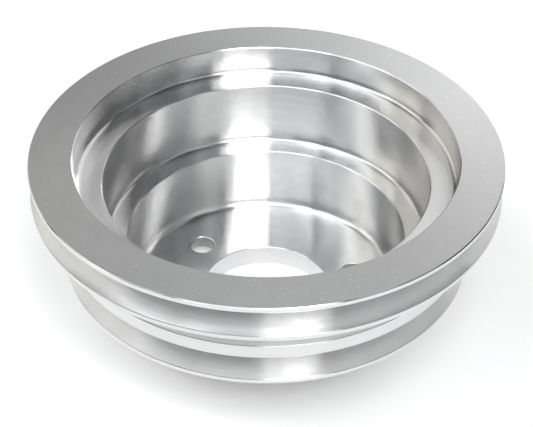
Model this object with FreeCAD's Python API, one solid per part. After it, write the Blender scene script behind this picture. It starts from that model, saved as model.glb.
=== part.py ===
"""A one-piece V-belt crankshaft pulley, turned and drilled from a single aluminium billet.

Frame: millimetres, +Z along the axis of rotation towards the open cup. The origin is the centre of the bolt
circle on the mounting face, so the cup's rim is above and only the pilot lip reaches below.
The body is one half-section, revolved, with a ring of bolt holes drilled through the web.
"""

import FreeCAD
import Part

import math
import os

# Overall sizes
FRONT_RADIUS = 85.725        # outside radius of the front sheave, 6.75 in across
REAR_RADIUS = 75.1           # outside radius of the smaller rear sheave
RIM_HEIGHT = 69.5            # from the mounting face up to the rim face

# Belt grooves, for a narrow automotive V-belt
GROOVE_WIDTH = 10.2          # between the edges at the outside radius
GROOVE_DEPTH = 11.0
FLANK_ANGLE = 18.0           # half of the groove's included angle, in degrees
LAND = 1.85                  # width of the thin outer lands
FRONT_GROOVE_TOP = LAND      # heights below the rim face from here on
MIDDLE_LAND_TOP = FRONT_GROOVE_TOP + GROOVE_WIDTH
MIDDLE_LAND_FOOT = MIDDLE_LAND_TOP + LAND
SPACER_TOP = 26.15           # the wide land between the middle and the rear groove
SPACER_FOOT = 31.4
REAR_LAND_TOP = SPACER_FOOT + GROOVE_WIDTH
REAR_LAND_FOOT = REAR_LAND_TOP + LAND

# Stepped cup
CUP_RADII = (69.8, 59.75, 51.7)
LEDGE_DEPTHS = (11.45, 37.5)
FLOOR_DEPTH = 64.2
LEDGE_FILLET = 2.3
FLOOR_FILLET = 3.5

# Hub, web and pilot
HUB_RADIUS = 56.3
HUB_FILLET = 3.0
HUB_CHAMFER = 8.6
BORE_RADIUS = 23.8
LIP_RADIUS = 28.0
LIP_LENGTH = 3.0
LIP_CHAMFER = 0.5

# Bolt holes
BOLT_COUNT = 3
BOLT_CIRCLE_RADIUS = 35.6
BOLT_HOLE_RADIUS = 4.8

# Edge breaks
RIM_CHAMFER = 0.35
LAND_CHAMFER = 0.15
HOLE_CHAMFER = 0.3
ROOT_FILLET = 0.8

SHARP, CHAMFER, FILLET = "sharp", "chamfer", "fillet"


def height(depth):
    """Height above the mounting face of a level given as a depth below the rim face."""
    return RIM_HEIGHT - depth


def outside_groove(radius, top, first_edge):
    """Corners of one V groove, from its upper edge to its lower edge. first_edge is the upper edge's break."""
    run = GROOVE_DEPTH * math.tan(math.radians(FLANK_ANGLE))
    foot = top + GROOVE_WIDTH
    root = radius - GROOVE_DEPTH
    return [
        (radius, height(top), *first_edge),
        (root, height(top + run), FILLET, ROOT_FILLET),
        (root, height(foot - run), FILLET, ROOT_FILLET),
        (radius, height(foot), CHAMFER, LAND_CHAMFER),
    ]


def sheave_corners():
    """The outside from the rim face down to the foot of the rear land."""
    edge_break = (CHAMFER, LAND_CHAMFER)
    middle_top = SPACER_TOP - GROOVE_WIDTH
    return [
        (FRONT_RADIUS, height(0), CHAMFER, RIM_CHAMFER),
        *outside_groove(FRONT_RADIUS, FRONT_GROOVE_TOP, edge_break),
        (FRONT_RADIUS, height(MIDDLE_LAND_FOOT), *edge_break),
        *outside_groove(REAR_RADIUS, middle_top, (SHARP, 0)),
        *outside_groove(REAR_RADIUS, SPACER_FOOT, edge_break),
        (REAR_RADIUS, height(REAR_LAND_FOOT), CHAMFER, LAND_CHAMFER * 2),
    ]


def hub_corners():
    """The back, from under the rear sheave to the pilot lip's bore edge."""
    return [
        (HUB_RADIUS, height(REAR_LAND_FOOT), FILLET, HUB_FILLET),
        (HUB_RADIUS, 0, CHAMFER, HUB_CHAMFER),
        (LIP_RADIUS, 0, SHARP, 0),
        (LIP_RADIUS, -LIP_LENGTH, CHAMFER, LIP_CHAMFER),
        (BORE_RADIUS, -LIP_LENGTH, CHAMFER, HOLE_CHAMFER),
    ]


def cup_corners():
    """The stepped cup, from the bore's edge on the floor up to the rim."""
    corners = [(BORE_RADIUS, height(FLOOR_DEPTH), CHAMFER, HOLE_CHAMFER)]
    levels = (FLOOR_DEPTH, *reversed(LEDGE_DEPTHS), 0)
    fillets = (FLOOR_FILLET, LEDGE_FILLET, LEDGE_FILLET)
    for radius, foot, top, fillet in zip(reversed(CUP_RADII), levels, levels[1:], fillets):
        corners.append((radius, height(foot), FILLET, fillet))
        corners.append((radius, height(top), CHAMFER, RIM_CHAMFER))
    return corners


def broken_corner(before, corner, after):
    """The first and last point of a corner once it is broken, and its arc's middle point or None."""
    here = FreeCAD.Vector(corner[0], 0, corner[1])
    back = (FreeCAD.Vector(before[0], 0, before[1]) - here).normalize()
    ahead = (FreeCAD.Vector(after[0], 0, after[1]) - here).normalize()
    kind, size = corner[2], corner[3]
    if kind == SHARP:
        return here, here, None
    if kind == CHAMFER:
        return here + back * size, here + ahead * size, None
    half = back.getAngle(ahead) / 2
    cut = size / math.tan(half)
    inward = (back + ahead).normalize()
    middle = here + inward * (size / math.sin(half) - size)
    return here + back * cut, here + ahead * cut, middle


def section_face(corners):
    """A closed face in the XZ plane through corners of (radius, height, break, size)."""
    count = len(corners)
    broken = [
        broken_corner(corners[i - 1], corners[i], corners[(i + 1) % count]) for i in range(count)
    ]
    edges = []
    for (first, last, middle), following in zip(broken, broken[1:] + broken[:1]):
        if middle is not None:
            edges.append(Part.Arc(first, middle, last).toShape())
        elif not first.isEqual(last, 1e-6):
            edges.append(Part.LineSegment(first, last).toShape())
        edges.append(Part.LineSegment(last, following[0]).toShape())
    return Part.Face(Part.Wire(edges))


def bolt_hole_cutter(angle):
    """A drill through the web at one place on the bolt circle, chamfered where it leaves each face."""
    web = height(FLOOR_DEPTH)
    spot = FreeCAD.Vector(BOLT_CIRCLE_RADIUS, 0, 0)
    wide = BOLT_HOLE_RADIUS + HOLE_CHAMFER
    up = FreeCAD.Vector(0, 0, 1)
    drill = Part.makeCylinder(BOLT_HOLE_RADIUS, web, spot)
    lower = Part.makeCone(wide, BOLT_HOLE_RADIUS, HOLE_CHAMFER, spot)
    upper = Part.makeCone(BOLT_HOLE_RADIUS, wide, HOLE_CHAMFER, spot + up * (web - HOLE_CHAMFER))
    cutter = drill.fuse([lower, upper]).removeSplitter()
    cutter.rotate(FreeCAD.Vector(), up, angle)
    return cutter


def crank_pulley():
    """The whole pulley as one solid."""
    face = section_face([*sheave_corners(), *hub_corners(), *cup_corners()])
    body = face.revolve(FreeCAD.Vector(), FreeCAD.Vector(0, 0, 1), 360)
    cutters = [bolt_hole_cutter(i * 360 / BOLT_COUNT) for i in range(BOLT_COUNT)]
    return Part.Solid(body.cut(cutters).Solids[0])


def main():
    os.makedirs("parts", exist_ok=True)
    pulley = crank_pulley()
    pulley.exportStep("parts/crank_pulley.step")
    box = pulley.BoundBox
    print(f"crank_pulley: valid {pulley.isValid()}, closed {pulley.isClosed()}, {pulley.Volume / 1000:.1f} cm3")
    print(f"size {box.XLength:.2f} x {box.YLength:.2f} x {box.ZLength:.2f} mm, faces {len(pulley.Faces)}")


main()
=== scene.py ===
"""Looks of a one-piece turned aluminium V-belt pulley that stands on a pale floor with its cup upwards."""

import math

import bpy
from mathutils import Matrix, Vector
from mathutils.geometry import delaunay_2d_cdt

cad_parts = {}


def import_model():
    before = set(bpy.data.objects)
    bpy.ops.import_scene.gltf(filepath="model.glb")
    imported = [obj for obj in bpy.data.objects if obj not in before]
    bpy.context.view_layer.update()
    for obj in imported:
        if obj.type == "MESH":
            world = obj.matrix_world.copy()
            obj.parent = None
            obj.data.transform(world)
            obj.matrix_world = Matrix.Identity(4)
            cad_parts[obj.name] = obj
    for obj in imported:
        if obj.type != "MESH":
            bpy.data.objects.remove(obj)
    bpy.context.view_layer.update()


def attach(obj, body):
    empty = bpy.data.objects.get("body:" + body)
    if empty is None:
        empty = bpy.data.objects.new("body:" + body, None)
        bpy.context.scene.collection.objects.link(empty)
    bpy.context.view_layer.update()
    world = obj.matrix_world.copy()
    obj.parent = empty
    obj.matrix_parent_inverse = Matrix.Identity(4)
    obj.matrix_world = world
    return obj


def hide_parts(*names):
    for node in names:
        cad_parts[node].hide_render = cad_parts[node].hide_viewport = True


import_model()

MM = 0.001

# The pulley, in millimetres, with heights above the mounting face and depths below the rim face
FRONT_RADIUS = 85.725
REAR_RADIUS = 75.1
RIM_HEIGHT = 69.5
GROOVE_WIDTH = 10.2
GROOVE_DEPTH = 11.0
FLANK_ANGLE = math.radians(18.0)
LAND = 1.85
MIDDLE_LAND_TOP = LAND + GROOVE_WIDTH
MIDDLE_LAND_FOOT = MIDDLE_LAND_TOP + LAND
SPACER_TOP = 26.15
SPACER_FOOT = 31.4
REAR_LAND_TOP = SPACER_FOOT + GROOVE_WIDTH
REAR_LAND_FOOT = REAR_LAND_TOP + LAND
CUP_RADII = (69.8, 59.75, 51.7)
LEDGE_DEPTHS = (11.45, 37.5)
FLOOR_DEPTH = 64.2
HUB_RADIUS = 56.3
BORE_RADIUS = 23.8
LIP_RADIUS = 28.0
LIP_LENGTH = 3.0
BOLT_COUNT = 3
BOLT_CIRCLE_RADIUS = 35.6
BOLT_HOLE_RADIUS = 4.8

# How its edges and corners are broken
SHARP, CHAMFER, FILLET = "sharp", "chamfer", "fillet"
RIM_CHAMFER = 0.35
LAND_CHAMFER = 0.15
HUB_CHAMFER = 8.6
LIP_CHAMFER = 0.5
HOLE_CHAMFER = 0.3
ROOT_FILLET = 0.8
LEDGE_FILLET = 2.3
FLOOR_FILLET = 3.5
HUB_FILLET = 3.0

# The mesh
TURNS = 360                  # facets round the body
HOLE_TURNS = 64              # facets round a bolt hole
ARC_STEPS = 8                # facets along a fillet
TINY = 1e-6                  # lengths below this, in millimetres, are nothing
CLOSE = 1e-3                 # heights this close, in millimetres, are the same
SHARP_ANGLE = 0.02           # radians
POINT_DIGITS = 3             # decimals of a radius or height, in millimetres
NORMAL_DIGITS = 9
MERGE_DIGITS = 5             # points that agree to this many decimals are one vertex

# Each finish, in the order of the material numbers: tones, roughness, anisotropy,
# size and depth of its marks in metres, and whether it is handled
TURNED, FACED, DRILLED = range(3)
FINISHES = {
    "turned_aluminium": ((0.76, 0.83), (0.21, 0.24), 1.0, 0.0004, 0.00001, False),
    "faced_aluminium": ((0.65, 0.74), (0.43, 0.49), 0.4, 0.0004, 0.00001, True),
    "drilled_aluminium": ((0.46, 0.56), (0.34, 0.42), 0.6, 0.0004, 0.00002, False),
}
NICK_SPACING = 0.0035        # metres
NICK_SIZE = 0.0003
NICK_GROUPS = 0.02
NICK_LIMIT = 0.54            # nicks lie where the noise of their groups is above this
NICK_TONE = 0.97
NICK_DEPTH = 4.0             # times the depth of the marks
BROAD_MARKS = 10             # times the size of the marks: the spots that differ in roughness
GRAIN_TURN = 0.25            # of a full turn, which spreads highlights across the marks
NOISE_LOW, NOISE_HIGH = 0.3, 0.7    # what most values of the noise texture lie between

# The camera, fitted to the round edges: lens, place relative to the rim face's centre, and aim
LENS = 106.99
SENSOR_WIDTH = 36.0
ELEVATION = math.radians(38.11)
DISTANCE = 6.664 * FRONT_RADIUS * MM
SIDE_SHIFT = 0.002 * FRONT_RADIUS * MM
UP_SHIFT = -0.263 * FRONT_RADIUS * MM
ROLL = math.radians(-0.37)
VIEW_TURN = -15.2            # degrees from the part's own +X to the viewer's right

# The stage, in metres
FLOOR_HALF = 3.0
FLOOR_TONE = 0.95
FLOOR_GLOW = 0.16
BACKDROP_RADIUS = 3.4
BACKDROP_FOOT = -0.1
BACKDROP_TOP = 3.0
BACKDROP_SIDES = 96
BACKDROP_GLOW = 0.9
WORLD_GLOW = 0.02

# Each softbox: azimuth, elevation, width and height in degrees as the part sees them, distance, strength and
# tint. Azimuth runs from the viewer's right (0), past the far side (90), to the viewer (270).
# Most of these numbers are merged and rounded from a program's fit of many small lights.
WHITE = (1.0, 1.0, 1.0)
WARM = (1.0, 0.98, 0.92)
COOL = (0.93, 0.97, 1.0)
FAR, NEAR = 3.0, 0.5         # metres from the part
STUDIO = {
    "key": (292, 60, 24, 30, FAR, 9.0, WHITE),
    "key_shoulder": (274, 60, 12, 30, FAR, 4.0, WHITE),
    "front_panel": (286, 35, 36, 25, FAR, 2.5, WHITE),
    "right_panel": (335, 35, 40, 25, FAR, 0.35, COOL),
    "left_bank_near": (245, 60, 50, 30, FAR, 2.4, COOL),
    "left_bank_far": (195, 60, 50, 30, FAR, 2.6, COOL),
    "left_low_near": (180, 35, 35, 25, FAR, 1.6, WARM),
    "left_low_far": (140, 25, 40, 45, FAR, 0.9, WARM),
    "back_panel": (62, 25, 44, 45, FAR, 0.9, WHITE),
    "back_left_panel": (92, 25, 16, 45, FAR, 0.5, WHITE),
    "back_strip": (70, 12, 20, 20, FAR, 4.2, WHITE),
    "card_right": (20, 48, 25, 20, NEAR, 0.35, COOL),
    "card_front": (320, 48, 25, 20, NEAR, 0.6, COOL),
    "card_back": (80, 20, 25, 20, NEAR, 0.4, COOL),
}


# The section

def height(depth):
    return RIM_HEIGHT - depth


def groove(radius, top, first):
    """Corners of one V groove, from its upper edge, which is broken as first says, to its lower edge."""
    run = GROOVE_DEPTH * math.tan(FLANK_ANGLE)
    foot = top + GROOVE_WIDTH
    return [
        (radius, height(top), *first),
        (radius - GROOVE_DEPTH, height(top + run), FILLET, ROOT_FILLET),
        (radius - GROOVE_DEPTH, height(foot - run), FILLET, ROOT_FILLET),
        (radius, height(foot), CHAMFER, LAND_CHAMFER),
    ]


def profile():
    """Corners of the half-section as (radius, height, break, size), down the outside and back up the cup."""
    edge = (CHAMFER, LAND_CHAMFER)
    corners = [
        (FRONT_RADIUS, height(0), CHAMFER, RIM_CHAMFER),
        *groove(FRONT_RADIUS, LAND, edge),
        (FRONT_RADIUS, height(MIDDLE_LAND_FOOT), *edge),
        *groove(REAR_RADIUS, SPACER_TOP - GROOVE_WIDTH, (SHARP, 0)),
        *groove(REAR_RADIUS, SPACER_FOOT, edge),
        (REAR_RADIUS, height(REAR_LAND_FOOT), CHAMFER, LAND_CHAMFER * 2),
        (HUB_RADIUS, height(REAR_LAND_FOOT), FILLET, HUB_FILLET),
        (HUB_RADIUS, 0, CHAMFER, HUB_CHAMFER),
        (LIP_RADIUS, 0, SHARP, 0),
        (LIP_RADIUS, -LIP_LENGTH, CHAMFER, LIP_CHAMFER),
        (BORE_RADIUS, -LIP_LENGTH, CHAMFER, HOLE_CHAMFER),
        (BORE_RADIUS, height(FLOOR_DEPTH), CHAMFER, HOLE_CHAMFER),
    ]
    levels = (FLOOR_DEPTH, *reversed(LEDGE_DEPTHS), 0)
    fillets = (FLOOR_FILLET, LEDGE_FILLET, LEDGE_FILLET)
    for radius, foot, top, fillet in zip(reversed(CUP_RADII), levels, levels[1:], fillets):
        corners.append((radius, height(foot), FILLET, fillet))
        corners.append((radius, height(top), CHAMFER, RIM_CHAMFER))
    return corners


def broken_corner(before, corner, after):
    """Where the broken corner begins and ends, and the centre of its fillet or None."""
    x, z, kind, size = corner
    here = Vector((x, z))
    back = (Vector(before[:2]) - here).normalized()
    ahead = (Vector(after[:2]) - here).normalized()
    if kind == SHARP:
        return here, here, None
    if kind == CHAMFER:
        return here + back * size, here + ahead * size, None
    half = back.angle(ahead) / 2
    centre = here + (back + ahead).normalized() * (size / math.sin(half))
    cut = size / math.tan(half)
    return here + back * cut, here + ahead * cut, centre


def arc_strip(first, last, centre):
    """A fillet. Its outside points away from the centre where the section turns that way, else towards it."""
    start = first - centre
    turn = start.angle_signed(last - centre)
    side = 1 if turn > 0 else -1
    arc = []
    for k in range(ARC_STEPS + 1):
        a = -turn * k / ARC_STEPS
        c, s = math.cos(a), math.sin(a)
        spoke = Vector((start.x * c - start.y * s, start.x * s + start.y * c))
        arc.append((centre + spoke, spoke.normalized() * side))
    return arc


def line_strip(a, b):
    """The section runs clockwise, so the outside is on the left of its direction."""
    d = (b - a).normalized()
    normal = Vector((-d.y, d.x))
    return [(a, normal), (b, normal)]


def strips(corners):
    """The section as strips: lists of (point, outward normal), each strip smooth along its length."""
    following = corners[1:] + corners[:1]
    broken = [broken_corner(corners[i - 1], corner, following[i]) for i, corner in enumerate(corners)]
    out = []
    for (first, last, centre), after in zip(broken, broken[1:] + broken[:1]):
        if centre is not None:
            out.append(arc_strip(first, last, centre))
        elif (last - first).length > TINY:
            out.append(line_strip(first, last))
        if (after[0] - last).length > TINY:
            out.append(line_strip(last, after[0]))
    return out


# The mesh

def ring(radius, turns, centre=(0, 0), digits=POINT_DIGITS):
    """Points round a circle. Its radius is rounded, so that two strips that meet share their points."""
    radius = round(radius, digits)
    angles = [math.tau * k / turns for k in range(turns)]
    return [(centre[0] + radius * math.cos(a), centre[1] + radius * math.sin(a)) for a in angles]


class Shell:
    """Collects faces with exact corner normals."""

    def __init__(self):
        self.points = []
        self.index = {}
        self.faces = []
        self.normals = []
        self.finishes = []
        self.finish = TURNED

    def vertex(self, p):
        key = tuple(round(c, MERGE_DIGITS) for c in p)
        if key not in self.index:
            self.index[key] = len(self.points)
            self.points.append(Vector(p) * MM)
        return self.index[key]

    def face(self, points, normals):
        self.faces.append([self.vertex(p) for p in points])
        self.normals.extend(normals)
        self.finishes.append(self.finish)

    def revolve(self, strip, centre=(0, 0), turns=TURNS):
        """Turns a strip of (point, normal) round the axis through centre."""
        for (p, n), (q, m) in zip(strip, strip[1:]):
            levels = [round(v.y, POINT_DIGITS) for v in (p, q)]
            rims = [[(x, y, z) for x, y in ring(v.x, turns, centre)] for v, z in zip((p, q), levels)]
            ways = [[(x, y, v.y) for x, y in ring(v.x, turns, digits=NORMAL_DIGITS)] for v in (n, m)]
            for k in range(turns):
                j = (k + 1) % turns
                self.face(
                    [rims[0][k], rims[1][k], rims[1][j], rims[0][j]],
                    [ways[0][k], ways[1][k], ways[1][j], ways[0][j]],
                )

    def plate(self, outer, holes, z, up):
        """A flat face at height z inside outer and outside each hole. All are given as arguments of ring."""
        spots, edges = [], []
        for args in (outer, *holes):
            first, count = len(spots), args[1]
            spots += ring(*args)
            edges += [(first + k, first + (k + 1) % count) for k in range(count)]
        _, _, triangles, origins, *_ = delaunay_2d_cdt([Vector(p) for p in spots], edges, [], 0, TINY)
        normal = Vector((0, 0, 1 if up else -1))
        for tri in triangles:
            corners = [spots[origins[i][0]] for i in (tri if up else reversed(tri))]
            middle = sum((Vector(p) for p in corners), Vector((0, 0))) / 3
            if all((middle - Vector(h[2])).length > h[0] * math.cos(math.pi / h[1]) for h in holes):
                self.face([(x, y, z) for x, y in corners], [normal] * 3)

    def mark_sharp(self, mesh):
        """Marks each edge whose two faces have different normals along it."""
        normals = iter(self.normals)
        sides = {}
        for ids in self.faces:
            ways = [Vector(next(normals)) for _ in ids]
            for k, a in enumerate(ids):
                j = (k + 1) % len(ids)
                pair = {a: ways[k], ids[j]: ways[j]}
                sides.setdefault(frozenset(pair), []).append(pair)
        for edge in mesh.edges:
            one, other = sides[frozenset(edge.vertices)]
            edge.use_edge_sharp = any(one[v].angle(other[v]) > SHARP_ANGLE for v in edge.vertices)

    def build(self, name):
        mesh = bpy.data.meshes.new(name)
        mesh.from_pydata(self.points, [], self.faces)
        mesh.shade_smooth()
        mesh.polygons.foreach_set("material_index", self.finishes)
        self.mark_sharp(mesh)
        mesh.normals_split_custom_set([Vector(n).normalized() for n in self.normals])
        return put(name, mesh)


def put(name, data):
    """A new object in the scene."""
    thing = bpy.data.objects.new(name, data)
    bpy.context.scene.collection.objects.link(thing)
    return thing


def turn_body(shell):
    """Everything round the axis but the web's two flat faces, which the bolt holes go through."""
    for strip in strips(profile()):
        ends = (strip[0][0], strip[-1][0])
        flat = len(strip) == 2 and abs(ends[0].y - ends[1].y) < TINY
        at_web = any(abs(ends[0].y - z) < CLOSE for z in (height(FLOOR_DEPTH), 0))
        if flat and at_web and max(ends[0].x, ends[1].x) < HUB_RADIUS:
            continue
        shell.finish = FACED if flat and ends[0].y == RIM_HEIGHT else TURNED
        shell.revolve(strip)


def drill_web(shell):
    """The web's two faces with their holes, and the walls of the bolt holes."""
    web = height(FLOOR_DEPTH)
    wide = BOLT_HOLE_RADIUS + HOLE_CHAMFER
    angles = [math.tau * k / BOLT_COUNT for k in range(BOLT_COUNT)]
    centres = [(BOLT_CIRCLE_RADIUS * math.cos(a), BOLT_CIRCLE_RADIUS * math.sin(a)) for a in angles]
    holes = [(wide, HOLE_TURNS, c) for c in centres]
    bore = (BORE_RADIUS + HOLE_CHAMFER, TURNS, (0, 0))
    lip = (LIP_RADIUS, TURNS, (0, 0))
    shell.finish = TURNED
    shell.plate((CUP_RADII[-1] - FLOOR_FILLET, TURNS), [bore, *holes], web, True)
    shell.plate((HUB_RADIUS - HUB_CHAMFER, TURNS), [lip, *holes], 0, False)
    shell.finish = DRILLED
    narrow = BOLT_HOLE_RADIUS
    wall = [(wide, 0), (narrow, HOLE_CHAMFER), (narrow, web - HOLE_CHAMFER), (wide, web)]
    for c in centres:
        for a, b in zip(wall, wall[1:]):
            shell.revolve(line_strip(Vector(a), Vector(b)), c, HOLE_TURNS)


def pulley():
    shell = Shell()
    turn_body(shell)
    drill_web(shell)
    body = shell.build("crank_pulley_turned")
    for name, values in FINISHES.items():
        body.data.materials.append(aluminium(name, *values))
    return body


# The materials

def maths(tree, operation, first, second):
    """A Math node of a socket with another socket or a number."""
    node = tree.nodes.new("ShaderNodeMath")
    node.operation = operation
    tree.links.new(first, node.inputs[0])
    if isinstance(second, float):
        node.inputs[1].default_value = second
    else:
        tree.links.new(second, node.inputs[1])
    return node.outputs[0]


def noise(tree, vector, size):
    texture = tree.nodes.new("ShaderNodeTexNoise")
    texture.inputs["Scale"].default_value = 1.0 / size
    tree.links.new(vector, texture.inputs["Vector"])
    return texture.outputs["Fac"]


def spread(tree, value, low, high):
    """A noise value mapped to the range from low to high."""
    span = tree.nodes.new("ShaderNodeMapRange")
    span.inputs["From Min"].default_value = NOISE_LOW
    span.inputs["From Max"].default_value = NOISE_HIGH
    span.inputs["To Min"].default_value = low
    span.inputs["To Max"].default_value = high
    tree.links.new(value, span.inputs["Value"])
    return span.outputs["Result"]


def ring_path(tree, place):
    """Coordinates that change only across the turning marks: distance from the axis and height."""
    apart = tree.nodes.new("ShaderNodeSeparateXYZ")
    flat = tree.nodes.new("ShaderNodeCombineXYZ")
    radius = tree.nodes.new("ShaderNodeVectorMath")
    path = tree.nodes.new("ShaderNodeCombineXYZ")
    radius.operation = "LENGTH"
    tree.links.new(place, apart.inputs[0])
    tree.links.new(apart.outputs["X"], flat.inputs["X"])
    tree.links.new(apart.outputs["Y"], flat.inputs["Y"])
    tree.links.new(flat.outputs[0], radius.inputs[0])
    tree.links.new(radius.outputs["Value"], path.inputs["X"])
    tree.links.new(apart.outputs["Z"], path.inputs["Z"])
    return path.outputs[0]


def nicks(tree, place):
    """1 inside small dents that lie in loose groups, and 0 elsewhere."""
    dents = tree.nodes.new("ShaderNodeTexVoronoi")
    dents.inputs["Scale"].default_value = 1.0 / NICK_SPACING
    tree.links.new(place, dents.inputs["Vector"])
    inside = maths(tree, "LESS_THAN", dents.outputs["Distance"], NICK_SIZE / NICK_SPACING)
    grouped = maths(tree, "GREATER_THAN", noise(tree, place, NICK_GROUPS), NICK_LIMIT)
    return maths(tree, "MULTIPLY", inside, grouped)


def aluminium(name, tones, roughness, anisotropy, mark_size, mark_depth, handled):
    """Bare aluminium with marks that run round the axis, so its highlights spread along the section.

    A handled face has an even grain instead, with nicks.
    """
    mat = bpy.data.materials.new(name)
    mat.use_nodes = True
    tree = mat.node_tree
    shader = tree.nodes["Principled BSDF"]
    shader.inputs["Metallic"].default_value = 1.0
    shader.inputs["Anisotropic"].default_value = anisotropy
    shader.inputs["Anisotropic Rotation"].default_value = GRAIN_TURN
    tangent = tree.nodes.new("ShaderNodeTangent")
    tangent.direction_type = "RADIAL"
    tangent.axis = "Z"
    tree.links.new(tangent.outputs["Tangent"], shader.inputs["Tangent"])
    place = tree.nodes.new("ShaderNodeTexCoord").outputs["Object"]
    path = place if handled else ring_path(tree, place)
    relief = fine = noise(tree, path, mark_size)
    broad = noise(tree, path, mark_size * BROAD_MARKS)
    tone = spread(tree, fine, *tones)
    if handled:
        dents = nicks(tree, place)
        tone = maths(tree, "MAXIMUM", tone, maths(tree, "MULTIPLY", dents, NICK_TONE))
        relief = maths(tree, "SUBTRACT", fine, maths(tree, "MULTIPLY", dents, NICK_DEPTH))
    bump = tree.nodes.new("ShaderNodeBump")
    bump.inputs["Strength"].default_value = 1.0
    bump.inputs["Distance"].default_value = mark_depth
    tree.links.new(relief, bump.inputs["Height"])
    tree.links.new(bump.outputs["Normal"], shader.inputs["Normal"])
    tree.links.new(tone, shader.inputs["Base Color"])
    tree.links.new(spread(tree, broad, *roughness), shader.inputs["Roughness"])
    return mat


def pale(name, tone, glow):
    """A matt material that gives a little white light of its own."""
    mat = bpy.data.materials.new(name)
    mat.use_nodes = True
    shader = mat.node_tree.nodes["Principled BSDF"]
    shader.inputs["Base Color"].default_value = (tone, tone, tone, 1)
    shader.inputs["Roughness"].default_value = 0.9
    shader.inputs["Emission Color"].default_value = (1, 1, 1, 1)
    shader.inputs["Emission Strength"].default_value = glow
    return mat


# The studio

def staged(name, points, faces, material):
    mesh = bpy.data.meshes.new(name)
    mesh.from_pydata(points, [], faces)
    mesh.materials.append(material)
    thing = put(name, mesh)
    return thing


def floor():
    """A square floor that the pilot lip stands on."""
    s, z = FLOOR_HALF, -LIP_LENGTH * MM
    points = [(-s, -s, z), (s, -s, z), (s, s, z), (-s, s, z)]
    staged("studio_floor", points, [(0, 1, 2, 3)], pale("studio_floor", FLOOR_TONE, FLOOR_GLOW))


def backdrop():
    """A pale round wall behind the lights, which only the camera sees."""
    n = BACKDROP_SIDES
    points = [(x, y, z) for z in (BACKDROP_FOOT, BACKDROP_TOP) for x, y in ring(BACKDROP_RADIUS, n)]
    faces = [(k, (k + 1) % n, (k + 1) % n + n, k + n) for k in range(n)]
    wall = staged("studio_backdrop", points, faces, pale("studio_backdrop", 0.0, BACKDROP_GLOW))
    wall.visible_diffuse = False
    wall.visible_glossy = False
    wall.visible_shadow = False


def world():
    """Faint light from all round."""
    w = bpy.data.worlds.new("studio")
    bpy.context.scene.world = w
    w.use_nodes = True
    background = w.node_tree.nodes["Background"]
    background.inputs["Color"].default_value = (1, 1, 1, 1)
    background.inputs["Strength"].default_value = WORLD_GLOW


def softbox(name, azimuth, elevation, width, tall, distance, strength, tint):
    """A rectangular light that faces the part."""
    azimuth = math.radians(azimuth + VIEW_TURN)
    elevation = math.radians(elevation)
    level = math.cos(elevation)
    away = Vector((math.cos(azimuth) * level, math.sin(azimuth) * level, math.sin(elevation)))
    light = bpy.data.lights.new(name, "AREA")
    light.shape = "RECTANGLE"
    light.size = 2 * distance * math.tan(math.radians(width) / 2) * level
    light.size_y = 2 * distance * math.tan(math.radians(tall) / 2)
    light.color = tint
    light.energy = strength * math.pi * light.size * light.size_y
    thing = put(name, light)
    thing.location = Vector((0, 0, RIM_HEIGHT * MM / 2)) + away * distance
    thing.rotation_euler = (-away).to_track_quat("-Z", "Y").to_euler()
    thing.visible_camera = False


def camera():
    turn = Matrix.Rotation(math.radians(VIEW_TURN), 3, "Z")
    ce, se = math.cos(ELEVATION), math.sin(ELEVATION)
    right, ahead, up = Vector((1, 0, 0)), Vector((0, ce, -se)), Vector((0, se, ce))
    offset = -ahead * DISTANCE + right * SIDE_SHIFT + up * UP_SHIFT
    place = Vector((0, 0, RIM_HEIGHT * MM)) + turn @ offset
    c, s = math.cos(ROLL), math.sin(ROLL)
    axes = [turn @ v for v in (right * c - up * s, right * s + up * c, -ahead)]
    data = bpy.data.cameras.new("camera")
    data.lens = LENS
    data.sensor_width = SENSOR_WIDTH
    thing = put("camera", data)
    thing.matrix_world = Matrix.Translation(place) @ Matrix(axes).transposed().to_4x4()
    bpy.context.scene.camera = thing


body = pulley()
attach(body, "root")
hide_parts("crank_pulley")
floor()
backdrop()
world()
for name, values in STUDIO.items():
    softbox(name, *values)
camera()
bpy.context.scene.view_settings.view_transform = "Standard"
